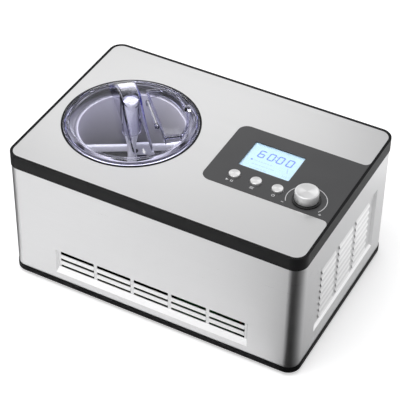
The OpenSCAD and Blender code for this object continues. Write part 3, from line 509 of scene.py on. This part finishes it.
class ICE_OT_stage(bpy.types.Operator):
    """Sets up the floor, the soft lights, the reflection cards and the camera"""

    bl_idname = "ice_maker.stage"
    bl_label = "Stage"

    def execute(self, context):
        stage = context.scene.ice_stage
        context.scene.view_settings.view_transform = "Standard"
        bm = bmesh.new()
        bmesh.ops.create_grid(bm, x_segments=4, y_segments=4, size=8)
        floor = Finish("floor paper")
        floor.link(floor.blend(floor.noise(3), (0.88, 0.88, 0.88), (0.9, 0.9, 0.9)), floor.skin, "Base Color")
        floor.set(Roughness=0.9, Specular_IOR_Level=0.0, Emission_Color=(1, 1, 1, 1), Emission_Strength=0.45)
        mesh = bpy.data.meshes.new("floor")
        bm.to_mesh(mesh)
        bm.free()
        mesh.materials.append(floor.material)
        ground = bpy.data.objects.new("floor", mesh)
        context.scene.collection.objects.link(ground)

        world = bpy.data.worlds.new("studio")
        context.scene.world = world
        world.use_nodes = True
        tree = world.node_tree
        tree.nodes.clear()
        place = tree.nodes.new("ShaderNodeTexCoord")
        split = tree.nodes.new("ShaderNodeSeparateXYZ")
        ramp = tree.nodes.new("ShaderNodeValToRGB")
        back = tree.nodes.new("ShaderNodeBackground")
        out = tree.nodes.new("ShaderNodeOutputWorld")
        tree.links.new(place.outputs["Generated"], split.inputs[0])
        tree.links.new(split.outputs["Z"], ramp.inputs[0])
        tree.links.new(ramp.outputs[0], back.inputs[0])
        tree.links.new(back.outputs[0], out.inputs[0])
        points = ramp.color_ramp.elements
        for k, (height, level) in enumerate(HORIZON):
            point = points[k] if k < 2 else points.new(height)
            point.position, point.color = height, (level, level, level * 1.01, 1)
        back.inputs["Strength"].default_value = stage.sky

        self.softbox("key", (-0.52, 0.88, 0.92), (0, 0.05, 0.2), 0.8, 0.42, stage.key)
        self.softbox("low", (-0.74, 1.13, 0.45), (-0.1, 0, 0.22), 0.55, 0.95, stage.low)
        self.softbox("top", (-0.15, -0.45, 1.6), (-0.1, 0, 0.15), 0.9, 0.9, stage.top)
        self.softbox("fill", (-1.2, -1.6, 1.4), (0, 0, 0.1), 1.4, 1.4, stage.fill)

        side, front = cad_high.x - CORNER * MM, cad_low.y + CORNER * MM
        self.card("corner card", (side, front), 0, 0.0008, CORNER_STOPS, 0.7)
        self.card("left card", (-side, front), 180, 0.0014, LEFT_STOPS, 0.4)
        self.card("front veil", (0, cad_low.y), -90, 0.002, VEIL_STOPS, 0.5, "LINEAR")

        lens = bpy.data.cameras.new("camera")
        lens.sensor_width = 36
        lens.lens = stage.lens
        camera = bpy.data.objects.new("camera", lens)
        context.scene.collection.objects.link(camera)
        around, up_angle, roll = (math.radians(a) for a in (CAMERA_TURN, CAMERA_RISE, CAMERA_ROLL))
        back_way = Vector((math.sin(around) * math.cos(up_angle), -math.cos(around) * math.cos(up_angle),
                           math.sin(up_angle)))
        right = Vector((math.cos(around), math.sin(around), 0))
        above = back_way.cross(right)
        turned_right = right * math.cos(roll) + above * math.sin(roll)
        turned_above = above * math.cos(roll) - right * math.sin(roll)
        rows = zip(turned_right, turned_above, back_way, CAMERA_PLACE)
        camera.matrix_world = Matrix((*rows, (0, 0, 0, 1)))
        context.scene.camera = camera
        return {"FINISHED"}

    def softbox(self, name, at, aim, width, height, power):
        """A soft rectangular lamp that points at aim."""
        lamp = bpy.data.lights.new(name, "AREA")
        lamp.shape, lamp.size, lamp.size_y, lamp.energy = "RECTANGLE", width, height, power
        obj = bpy.data.objects.new(name, lamp)
        obj.location = at
        obj.rotation_euler = (Vector(aim) - Vector(at)).to_track_quat("-Z", "Y").to_euler()
        bpy.context.scene.collection.objects.link(obj)

    def card(self, name, centre, turn, height, stops, reach, kind="RADIAL"):
        """A dark card on the floor that only reflections see. stops are pairs of an angle about centre, in
        degrees from +X less turn, or a share of the reach, and how solid the card is there."""
        bm = bmesh.new()
        bmesh.ops.create_circle(bm, cap_ends=True, segments=48, radius=reach)
        bmesh.ops.translate(bm, verts=bm.verts, vec=(*centre, height))
        mesh = bpy.data.meshes.new(name)
        bm.to_mesh(mesh)
        bm.free()
        paint = Finish(name)
        shift = paint.add("Mapping", vector_type="TEXTURE")
        shift.inputs["Location"].default_value = (*centre, 0)
        shift.inputs["Rotation"].default_value = (0, 0, math.radians(turn))
        shift.inputs["Scale"].default_value = (reach, reach, 1)
        paint.link(paint.place, shift)
        fan = paint.add("TexGradient", gradient_type=kind)
        paint.link(shift, fan, "Vector")
        ramp = paint.add("ValToRGB")
        paint.link(fan.outputs["Fac"], ramp)
        points = ramp.color_ramp.elements
        for k, (angle, solid) in enumerate(stops):
            at = (angle / 360 + 0.5) % 1 if kind == "RADIAL" else angle
            point = points[k] if k < 2 else points.new(at)
            point.position, point.color = at, (solid, solid, solid, 1)
        paint.link(ramp, paint.skin, "Alpha")
        paint.link(paint.blend(paint.noise(4), (0.02,) * 3, (0.03,) * 3), paint.skin, "Base Color")
        paint.set(Roughness=1.0, Specular_IOR_Level=0.0)
        mesh.materials.append(paint.material)
        obj = bpy.data.objects.new(name.replace(" ", "_"), mesh)
        bpy.context.scene.collection.objects.link(obj)
        obj.visible_camera = obj.visible_diffuse = obj.visible_shadow = False
        obj.visible_transmission = False


class ICE_OT_case(bpy.types.Operator):
    """Finishes the steel case, the top plate and the black trim"""

    bl_idname = "ice_maker.case"
    bl_label = "Case and trim"

    def execute(self, context):
        look = context.scene.ice_finish
        # The case steel carries a painted highlight on its louvres' upward slopes.
        dress(brushed("case steel", look.steel, 0.30, "level", 0.0025, 0.02), "outer_case", "rear_panel")
        dress(brushed("plate steel", look.plate, 0.34, "x", 0.002, 0.012), "top_plate")
        trim = grained("frame plastic", look.trim, 0.4, grain=1800, depth=0.012, specular=0.13)
        dress(trim, "top_frame", "lid_ring", soften=0.35)
        dress(grained("base plastic", shade(look.trim, 0.5), 0.5, grain=1500, depth=0.02, specular=0.08),
              "base_pan", "cord_gland", soften=0.35)
        dress(grained("dial collar plastic", shade(look.trim, 0.8), 0.25, grain=1500, depth=0.005), "dial_collar",
              soften=0.35)
        dress(grained("foot rubber", (0.02, 0.02, 0.021), 0.7, grain=1200, depth=0.05), "feet", soften=0.4)
        dress(grained("fastener steel", (0.62, 0.62, 0.62), 0.22, 1.0, 1500, depth=0.004), "foot_screws",
              "rear_screws", "board_screws", "gearbox_screws", "compressor_bolts", "flap_pin", soften=0.2)
        return {"FINISHED"}


class ICE_OT_works(bpy.types.Operator):
    """Finishes the gearbox, the cooling circuit, the fan and the electrics inside"""

    bl_idname = "ice_maker.works"
    bl_label = "Works"

    def execute(self, context):
        dress(grained("well aluminium", (0.36, 0.355, 0.38), 0.34, 1.0, 900, depth=0.006), "well")
        dress(grained("copper tube", (0.70, 0.34, 0.19), 0.3, 1.0, 700, depth=0.008, vary=0.18, broad=60),
              "evaporator_coil", "condenser_tube", "filter_drier", "discharge_line", "capillary_tube",
              "suction_line")
        dress(grained("insulation foam", (0.80, 0.74, 0.52), 0.9, 0, 320, depth=0.5, vary=0.12), "well_insulation")
        dress(grained("seal rubber", (0.035, 0.035, 0.037), 0.6, 0, 1200, depth=0.03), "shaft_seal",
              "compressor_grommets")
        dress(grained("lid gasket rubber", (0.05, 0.05, 0.055), 0.55, 0, 1200, depth=0.02), "lid_gasket")
        dress(grained("sensor metal", (0.45, 0.45, 0.47), 0.35, 1.0, 900, depth=0.01), "temperature_sensor",
              "dial_encoder")
        dress(grained("shaft steel", (0.6, 0.6, 0.61), 0.22, 1.0, 500, (1, 1, 30), 0.004), "drive_shaft",
              "idler_pin", "motor_pinion", "encoder_shaft")
        dress(grained("gear plastic", (0.78, 0.76, 0.66), 0.45, 0, 900, depth=0.01), "drive_gear", "idler_gear")
        dress(grained("sintered bronze", (0.55, 0.38, 0.18), 0.5, 1.0, 1400, depth=0.05, vary=0.15), "drive_bush")
        dress(grained("motor steel", (0.5, 0.5, 0.52), 0.38, 1.0, 300, (1, 1, 12), 0.01), "drive_motor",
              "fan_motor")
        dress(grained("gearbox plastic", (0.075, 0.078, 0.084), 0.5, 0, 1100, depth=0.04), "gear_housing",
              "gear_cover", soften=0.4)
        dress(grained("compressor paint", (0.015, 0.015, 0.017), 0.28, 0, 500, depth=0.03, coat=0.5), "compressor")
        dress(grained("relay plastic", (0.72, 0.72, 0.68), 0.45, 0, 900, depth=0.02), "compressor_relay",
              soften=0.4)
        dress(grained("fin aluminium", (0.72, 0.72, 0.73), 0.35, 1.0, 300, (1, 1, 6), 0.01), "condenser_fins")
        dress(grained("shroud plastic", (0.02, 0.02, 0.022), 0.5, 0, 1100, depth=0.03), "fan_shroud")
        dress(grained("fan plastic", (0.66, 0.67, 0.68), 0.42, 0, 900, depth=0.02), "fan_blade")
        dress(grained("wire insulation", (0.25, 0.03, 0.02), 0.42, 0, 900, depth=0.01, vary=0.2, broad=120),
              "wiring")
        dress(grained("switch plastic", (0.015, 0.015, 0.016), 0.5, 0, 1200, depth=0.01), "tact_switches")
        board = Finish("circuit board")
        tracks = board.add("TexBrick")
        tracks.inputs["Scale"].default_value = 160
        tracks.inputs["Mortar Size"].default_value = 0.05
        board.link(board.stretched((1, 1, 1)), tracks, "Vector")
        tracks.inputs["Color1"].default_value = (0.012, 0.10, 0.035, 1)
        tracks.inputs["Color2"].default_value = (0.016, 0.13, 0.05, 1)
        tracks.inputs["Mortar"].default_value = (0.10, 0.22, 0.09, 1)
        board.link(tracks, board.skin, "Base Color")
        board.link(board.between(board.noise(700), 0.28, 0.4), board.skin, "Roughness")
        board.link(board.bump(tracks.outputs["Fac"], 0.05), board.skin, "Normal")
        dress(board, "control_board", "power_board")
        return {"FINISHED"}


class ICE_OT_bowl(bpy.types.Operator):
    """Finishes the aluminium bowl and builds the paddle"""

    bl_idname = "ice_maker.bowl"
    bl_label = "Bowl and paddle"

    def execute(self, context):
        dress(self.bowl_finish(), "bowl", soften=0.3)
        plastic = grained("paddle plastic", (0.90, 0.90, 0.91), 0.35, 0, 900, depth=0.01, vary=0.02)
        bm = bmesh.new()
        turned(bm, [(0, 96), (11.2, 96), (12, 96.8), (12, 123.6), (11.4, 125.6), (7.2, 132.4), (6.2, 136),
                    (6.2, 163), (6.8, 168), (8.2, 176), (8.8, 180), (8.8, 239), (8.2, 239.7), (0, 240)],
               (LID_X, LID_Y), 64)
        post = loose("post", bm)
        way = Vector((math.cos(math.radians(PADDLE_TURN)), math.sin(math.radians(PADDLE_TURN))))
        steps = []
        for low, high in ((154.8, 165), (95, 107)):
            bm = bmesh.new()
            middle = Vector((LID_X, LID_Y))
            bar(bm, middle - way * 66.4, middle + way * 66.4, 5, low, high, ends=6)
            rounded_edges(bm, 1.2, 3)
            steps.append(("UNION", loose("bar", bm)))
        for side in (-1, 1):
            bm = bmesh.new()
            at = Vector((LID_X, LID_Y)) + way * side * 65.2
            blade = Vector((math.cos(math.radians(PADDLE_TURN + side * 20)),
                            math.sin(math.radians(PADDLE_TURN + side * 20))))
            bar(bm, at - blade * 1.4, at + blade * 1.4, 3.4, 95.2, 167.8, ends=6)
            rounded_edges(bm, 0.8, 2)
            steps.append(("UNION", loose("scraper", bm)))
        bm = bmesh.new()
        turned(bm, [(0, 90), (8.3, 90), (8.3, 121), (3.7, 122), (3.7, 138), (0, 138)], (LID_X, LID_Y), 48)
        steps.append(("DIFFERENCE", loose("socket", bm)))
        placed("paddle_moulding", carved(post, *steps), plastic, "paddle", ("paddle",))
        return {"FINISHED"}

    def bowl_finish(self):
        """Satin aluminium, spun round the wall, with painted shade: darker towards the bottom, nearly black on the
        floor, and dark beyond the wall's top.
        """
        f = Finish("bowl aluminium")
        split = f.add("SeparateXYZ")
        f.link(f.place, split)
        spin = f.noise(1, (30, 30, 700), 3)
        height = f.between(split.outputs["Z"], 0.0, 1.0, BOWL_FLOOR * MM, BOWL_RIM * MM)
        tone = f.add("Math", operation="MULTIPLY_ADD")
        f.link(spin, tone, 0)
        tone.inputs[1].default_value = 0.10
        f.link(height, tone, 2)
        ramp = f.add("ValToRGB")
        f.link(tone, ramp)
        # Painted shade by height: nearly black on the floor, darker towards the bottom, light near the rim.
        painted_shade_levels = ((0.17, 0.012), (0.21, 0.38), (0.5, 0.60), (1.0, 0.95))
        for k, (at, level) in enumerate(painted_shade_levels):
            point = ramp.color_ramp.elements[k] if k < 2 else ramp.color_ramp.elements.new(at)
            point.position, point.color = at, (level * 0.96, level * 0.94, level, 1)
        middle = f.add("VectorMath", operation="DISTANCE")
        middle.inputs[1].default_value = (LID_X * MM, LID_Y * MM, 0)
        f.link(f.stretched((1, 1, 0)), middle)
        # Painted shade: the bowl's colour turns dark beyond the radius where its wall meets the rim.
        painted_lip_shade = f.add("MixRGB", blend_type="MULTIPLY")
        painted_lip_shade.inputs["Fac"].default_value = 1.0
        f.link(ramp, painted_lip_shade, "Color1")
        f.link(f.blend(middle.outputs["Value"], (1, 1, 1), (0.16, 0.16, 0.18), LIP_START * MM, LIP_END * MM), painted_lip_shade,
               "Color2")
        f.link(painted_lip_shade, f.skin, "Base Color")
        f.link(f.between(split.outputs["Z"], 0.0, 0.3, 0.098, 0.102), f.skin, "Metallic")
        f.link(f.between(spin, 0.3, 0.42), f.skin, "Roughness")
        f.link(f.bump(spin, 0.008, 0.5), f.skin, "Normal")
        return f


class ICE_OT_lid(bpy.types.Operator):
    """Builds the clear lid with its handle and hub, and its filler flap"""

    bl_idname = "ice_maker.lid"
    bl_label = "Lid"

    def execute(self, context):
        look, sides = context.scene.ice_finish, context.scene.ice_size.lid_sides
        moulding = clear("clear lid", look.lid, 1.27, 38)
        lid = placed("clear_lid", self.lid_mesh(sides), moulding, "lid", ("lid",), crease=28)
        glints = bpy.data.collections.new("glints")
        glints.objects.link(lid)
        bpy.data.objects["low"].light_linking.receiver_collection = glints
        thin = clear("clear flap", look.lid, 1.2, 12, (0.34, 0.34, 0.96))
        flap = placed("clear_flap", self.flap_mesh(), thin, "flap", ("filler_flap",), crease=28)
        glints.objects.link(flap)
        self.arrow()
        return {"FINISHED"}

    def handle(self, peak, base, floor, run, half, edge):
        """A solid under the handle's bow, from floor up to the bow, with rounded top edges. The bow is long on
        one side of the lid's centre and falls away quickly on the other."""
        line = [bezier((-run, base), (-0.72 * run, 0.55 * peak), (-0.45 * run, peak), (-0.06 * run, peak), k / 22)
                for k in range(23)]
        line += [bezier((-0.06 * run, peak), (0.06 * run, peak), (0.08 * run, 0.82 * peak),
                        (0.16 * run, 0.72 * peak), k / 10) for k in range(1, 11)]
        line += [bezier((0.16 * run, 0.72 * peak), (0.35 * run, 0.48 * peak), (0.6 * run, 0.3 * peak),
                        (run, base), k / 12) for k in range(1, 13)]
        rings = []
        for u, h in line:
            r = min(edge, (h - floor) * 0.7)
            section = [(-half, floor), (-half, h - r)]
            section += [(-half + r - r * math.cos(t), h - r + r * math.sin(t))
                        for t in (math.radians(a) for a in (22.5, 45, 67.5))]
            section += [(-half + r, h), (half - r, h)]
            section += [(half - r + r * math.sin(t), h - r + r * math.cos(t))
                        for t in (math.radians(a) for a in (22.5, 45, 67.5))]
            section += [(half, h - r), (half, floor)]
            rings.append([on_lid(u, s, z) for s, z in section])
        bm = bmesh.new()
        skin(bm, rings)
        return bm

    def flap_outline(self, grow, steps=36):
        """The filler opening's outline: a round lid's edge cut off along the hinge, with rounded corners."""
        outer, cut, side, corner = 77 + grow, FLAP_LINE + 3 - grow, 53 + grow, max(0.5, 4 + grow)
        reach = math.sqrt(outer**2 - side**2)
        first, last = math.atan2(reach, side), math.atan2(reach, -side)
        points = [(side, cut + corner)]
        points += [(outer * math.cos(first + (last - first) * k / steps),
                    outer * math.sin(first + (last - first) * k / steps)) for k in range(steps + 1)]
        points += [(-side, cut + corner)]
        for k in range(1, 6):
            t = math.radians(18 * k)
            points.append((-side + corner - corner * math.cos(t), cut + corner - corner * math.sin(t)))
        for k in range(0, 5):
            t = math.radians(18 * k)
            points.append((side - corner + corner * math.sin(t), cut + corner - corner * math.cos(t)))
        return points

    def flap_prism(self, grow, low, high, edge=0.0):
        """A solid with the flap's outline, grown by so much; edge rounds it."""
        bm = bmesh.new()
        outline = self.flap_outline(grow)
        skin(bm, [[on_lid(x, y, low) for x, y in outline], [on_lid(x, y, high) for x, y in outline]])
        if edge:
            rounded_edges(bm, edge, 2)
        return bm

    def barrel(self, x1, x2, radius, y, z, sides=20):
        """A round bar along the hinge line."""
        bm = bmesh.new()
        ends = ((x1, radius - 0.4), (x1 + 0.4, radius), (x2 - 0.4, radius), (x2, radius - 0.4))
        skin(bm, [[on_lid(x, y + r * math.cos(2 * math.pi * k / sides), z + r * math.sin(2 * math.pi * k / sides))
                   for k in range(sides)] for x, r in ends])
        return bm

    def block(self, x1, x2, y1, y2, z1, z2, edge):
        """A straight block in the lid's own directions; edge rounds it."""
        bm = bmesh.new()
        corners = ((x1, y1), (x2, y1), (x2, y2), (x1, y2))
        skin(bm, [[on_lid(x, y, z) for x, y in corners] for z in (z1, z2)])
        if edge:
            rounded_edges(bm, edge, 2)
        return bm

    def lid_mesh(self, sides):
        """The lid's turned disc and skirt with its handle, hub, filler opening and hinge knuckles."""
        bm = bmesh.new()
        turned(bm, [(0, 3), (77.6, 3), (77.8, 2.2), (78.8, 2.2), (79.0, 3), (82, 3), (84.4, 1.2), (85.6, -0.6),
                    (85.6, -8.6), (86.0, -9), (87.6, -9), (88, -8.6), (88, 0.4), (90.2, 0.4), (90.4, 0.6),
                    (90.4, 1.4), (90.0, 1.8), (88.4, 1.8), (88.0, 2.3), (86.6, 2.5), (86.2, 3.3), (84.6, 4.6),
                    (83.4, 5.2), (82.4, 5.2), (82.0, 4.7), (80.9, 4.7), (80.5, 5.2), (0, 5.2)],
               (LID_X, LID_Y), sides, TOP)
        hub = bmesh.new()
        turned(hub, [(10.4, -15.6), (10.8, -16), (12.3, -16), (12.7, -15.6), (12.7, 26), (12.3, 27), (12.3, 38.8),
                     (11.9, 39.4), (0, 39.4), (0, 37.2), (10.4, 37.2), (10.4, 27)], (LID_X, LID_Y), 72, TOP,
               wobble=lambda k, i: 0.28 * (i % 2) if k in (6, 11) else 0)
        bore = bmesh.new()
        turned(bore, [(0, -10), (11, -10), (11, 38.5), (0, 38.5)], (LID_X, LID_Y), 72, TOP)
        knuckles = []
        for side in (-1, 1):
            knuckles.append(("UNION", loose("knuckle", self.barrel(side * 25 - 3.5, side * 25 + 3.5, 2.7,
                                                                   FLAP_LINE, FLAP_Z))))
            knuckles.append(("UNION", loose("foot", self.block(side * 25 - 3.3, side * 25 + 3.3, FLAP_LINE - 2.6,
                                                               FLAP_LINE + 2.6, 4.4, 8, 0))))
        return carved(
            loose("disc", bm),
            ("UNION", loose("bow", self.handle(HANDLE_PEAK, 4.1, 3.5, HANDLE_RUN, HANDLE_HALF, 3.2))),
            ("UNION", loose("rim", self.flap_prism(-1.5, -5, 4.1, 0.4))),
            ("DIFFERENCE", loose("hollow", self.handle(HANDLE_PEAK - HANDLE_WALL, -1, -2, HANDLE_RUN - 3.4,
                                                       HANDLE_HALF - HANDLE_WALL, 1.6))),
            ("DIFFERENCE", loose("mouth", self.flap_prism(-4, -6, 8))),
            ("DIFFERENCE", loose("bore", bore)),
            ("UNION", loose("hub", hub)),
            *knuckles,
        )

    def flap_mesh(self):
        """The filler flap: a shallow tray with a hinge barrel and a finger tab."""
        rib = self.flap_prism(-1.2, 7.6, 8.7, 0.3)
        return carved(
            loose("plate", self.flap_prism(0, 5.6, 8, 0.5)),
            ("UNION", loose("rib", rib)),
            ("DIFFERENCE", loose("tray", self.flap_prism(-2.4, 7.3, 9.2))),
            ("UNION", loose("leaf", self.block(-21.2, 21.2, FLAP_LINE, FLAP_LINE + 6, 5.6, 8, 0.3))),
            ("UNION", loose("barrel", self.barrel(-21.2, 21.2, 2.4, FLAP_LINE, FLAP_Z))),
            ("UNION", loose("tab", self.block(-4.5, 4.5, 72, 81, 5.6, 10.6, 0.9))),
        )

    def arrow(self):
        """A small moulded arrow on the handle's slope that points to the front."""
        bm = bmesh.new()
        outline = [(4, 0), (0, 2.6), (0, 0.9), (-4, 0.9), (-4, -0.9), (0, -0.9), (0, -2.6)]
        rings = [[on_lid(72 + x, y, 7.05 - 0.31 * x + lift) for x, y in outline] for lift in (-0.15, 0.3)]
        skin(bm, rings)
        piece("lid_arrow", bm, grained("arrow print", (0.75, 0.75, 0.78), 0.5, 0, 900), "lid",
              smooth=False)


class ICE_OT_panel(bpy.types.Operator):
    """Finishes the control panel with its printed marks, and builds the screen"""

    bl_idname = "ice_maker.panel"
    bl_label = "Control panel and screen"

    def execute(self, context):
        look, size = context.scene.ice_finish, context.scene.ice_size
        dress(grained("panel plastic", look.panel, 0.36, grain=1600, depth=0.006, vary=0.06, spread=0.04),
              "control_panel", soften=0.3)
        dress(clear("display window", (0.99, 0.995, 1.0), 1.45), "display_lens")
        dress(lit("screen backing", look.screen, 0.08), "lcd_module")
        self.marks(size)
        self.screen(look, size)
        return {"FINISHED"}

    def marks(self, size):
        """The printed marks round the dial and under the buttons."""
        ink = lit("panel print", (0.62, 0.62, 0.63), 0.0)
        low, high = TOP - 0.05, TOP + size.print_height / MM
        bm = bmesh.new()
        arc(bm, (DIAL_X, DIAL_Y), size.arc_radius / MM, 1.0, -31, 211, low, high, 72)
        bar(bm, (DIAL_X - 27.2, DIAL_Y - 17.3), (DIAL_X - 23.6, DIAL_Y - 17.3), 0.9, low, high)
        bar(bm, (DIAL_X + 24.3, DIAL_Y - 17.3), (DIAL_X + 27.9, DIAL_Y - 17.3), 0.9, low, high)
        for way in (-1, 1):
            bar(bm, (DIAL_X + 26.1, DIAL_Y - 17.3 + way * 0.45), (DIAL_X + 26.1, DIAL_Y - 17.3 + way * 1.8), 0.9,
                low, high)
        piece("dial_marks", bm, ink, "chassis", smooth=False)
        bm = bmesh.new()
        x, y = BUTTONS["start"][0] - 3.2, BUTTONS["start"][1] - 12.8
        plate(bm, [(x - 2.6, y - 1.9), (x + 1.2, y), (x - 2.6, y + 1.9)], low, high)
        for step in (4.4, 6.6):
            bar(bm, (x + step, y - 1.9), (x + step, y + 1.9), 1.0, low, high)
        x, y = BUTTONS["menu"][0], BUTTONS["menu"][1] - 12.8
        for step in (-1.6, 0, 1.6):
            bar(bm, (x - 2.6, y + step), (x + 2.6, y + step), 0.75, low, high)
        x, y = BUTTONS["power"][0], BUTTONS["power"][1] - 12.8
        arc(bm, (x, y), 1.9, 0.75, -240, 60, low, high, 24)
        bar(bm, (x, y + 0.4), (x, y + 2.6), 0.75, low, high)
        piece("button_marks", bm, ink, "chassis", smooth=False)

    def screen(self, look, size):
        """The digits, dashes and signs on the screen."""
        low, high = SCREEN_TOP - 0.05, SCREEN_TOP + 0.12
        tall = size.digit_height / MM
        bm = bmesh.new()
        lean = 0.06
        segments = {"a": ((0, 2), (1, 2)), "b": ((1, 2), (1, 1)), "c": ((1, 1), (1, 0)), "d": ((0, 0), (1, 0)),
                    "e": ((0, 1), (0, 0)), "f": ((0, 2), (0, 1)), "g": ((0, 1), (1, 1))}
        wide, stroke = 7.4, 1.8
        for left, lit_ones in ((73.2, "acdefg"), (87.0, "abcdef"), (99.6, "abcdef"), (113.4, "abcdef")):
            for key in lit_ones:
                (x1, y1), (x2, y2) = segments[key]
                ends = []
                for x, y in ((x1, y1), (x2, y2)):
                    h = 13.7 + y * (tall - stroke) / 2
                    ends.append(Vector((left + x * wide + (h - 13) * lean, h)))
                way = (ends[1] - ends[0]).normalized() * 0.75
                bar(bm, ends[0] + way, ends[1] - way, stroke, low, high, ends=2)
        for h in (17.2, 24.0):
            disc(bm, (97.2 + (h - 13) * lean, h), 0.75, low, high, 12)
        digits = lit("screen digits", look.digits, 0.12)
        piece("screen_digits", bm, digits, "chassis", smooth=False)
        bm = bmesh.new()
        disc(bm, (69.6, 5.4), 1.5, low, high, 20)
        piece("screen_dot", bm, digits, "chassis", smooth=False)
        bm = bmesh.new()
        for start, y, widths in ((73.2, 5.4, (5.4, 1.6, 3.0, 4.2, 2.4, 3.6)),
                                 (73.2, -1.9, (3.4, 4.6, 2.2, 5.0, 3.2, 1.8, 4.4)),
                                 (73.2, -8.6, (4.2, 2.6, 5.2, 3.0, 4.4))):
            x = start
            for w in widths:
                bar(bm, (x, y), (x + w, y), 1.7, low, high)
                x += w + 1.1
        piece("screen_dashes", bm, lit("faint digits", (0.42, 0.62, 0.88), 0.15), "chassis",
              smooth=False)
        bm = bmesh.new()
        bar(bm, (119.4, 9.2), (120.6, 5.0), 0.9, low, high, ends=3)
        bar(bm, (120.6, 5.0), (122.0, 1.2), 1.3, low, high, ends=3)
        for step in (-2.6, 0, 2.6):
            arc(bm, (119.2 + step, -6.8), 2.6, 0.6, -40, 40, low, high, 8)
        arc(bm, (120.8, -10.6), 2.2, 0.6, 200, 340, low, high, 10)
        piece("screen_signs", bm, lit("sign digits", (0.36, 0.54, 0.86), 0.15), "chassis",
              smooth=False)


class ICE_OT_controls(bpy.types.Operator):
    """Builds the three buttons and the dial"""

    bl_idname = "ice_maker.controls"
    bl_label = "Buttons and dial"

    def execute(self, context):
        for name, centre in BUTTONS.items():
            bm = bmesh.new()
            turned(bm, [(0, TOP - 6.5), (2.6, TOP - 6.5), (2.6, TOP - 3), (9.1, TOP - 3), (9.1, TOP - 1.8),
                        (7.5, TOP - 1.6), (7.5, TOP + 2.1), (7.35, TOP + 2.5), (7.0, TOP + 2.75),
                        (6.5, TOP + 2.8), (6.2, TOP + 2.74), (3.4, TOP + 2.62), (0, TOP + 2.58)],
                   tuple(centre), 64)
            piece(name + "_cap", bm, spun(name + " button metal", METAL, 0.34, centre), name,
                  (name + "_button",))
        bm = bmesh.new()
        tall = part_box("dial_knob")[1].z / MM
        turned(bm, [(3.2, TOP + 6.2), (12.3, TOP + 6.2), (12.3, TOP + 2.3), (15.1, TOP + 2.2), (15.4, TOP + 2.5),
                    (15.5, TOP + 4.0), (15.5, tall - 1.8), (15.3, tall - 0.9),
                    (14.9, tall - 0.35), (14.4, tall - 0.06), (13.9, tall), (13.2, tall - 0.12),
                    (12.8, tall - 0.3), (8, tall - 0.42), (0.8, tall - 0.5), (0.0, tall - 0.5),
                    (0.0, tall - 2.0), (3.2, tall - 2.0)], (DIAL_X, DIAL_Y), 128)
        piece("dial_cap", bm, spun("dial metal", METAL, 0.42, (DIAL_X, DIAL_Y)), "dial",
              ("dial_knob",))
        return {"FINISHED"}


BUILDERS = (ICE_OT_stage, ICE_OT_case, ICE_OT_works, ICE_OT_bowl, ICE_OT_lid, ICE_OT_panel, ICE_OT_controls)
SETTINGS = {"ice_finish": FinishSettings, "ice_size": SizeSettings, "ice_stage": StageSettings}


class ICE_PT_panel(bpy.types.Panel):
    """Lists the settings and the building steps in the 3D view's sidebar"""

    bl_idname = "ICE_PT_panel"
    bl_label = "Ice Cream Maker"
    bl_space_type = "VIEW_3D"
    bl_region_type = "UI"
    bl_category = "Ice Cream Maker"

    def draw(self, context):
        for name, group in SETTINGS.items():
            box = self.layout.box()
            for prop in group.__annotations__:
                box.prop(getattr(context.scene, name), prop)
        for builder in BUILDERS:
            self.layout.operator(builder.bl_idname)


def register():
    for group in (*SETTINGS.values(), *BUILDERS, ICE_PT_panel):
        bpy.utils.register_class(group)
    for name, group in SETTINGS.items():
        setattr(bpy.types.Scene, name, PointerProperty(type=group))


def unregister():
    for name in SETTINGS:
        delattr(bpy.types.Scene, name)
    for group in reversed((*SETTINGS.values(), *BUILDERS, ICE_PT_panel)):
        bpy.utils.unregister_class(group)


def main():
    register()
    for builder in BUILDERS:
        area, action = builder.bl_idname.split(".")
        getattr(getattr(bpy.ops, area), action)()


if __name__ == "__main__":
    main()
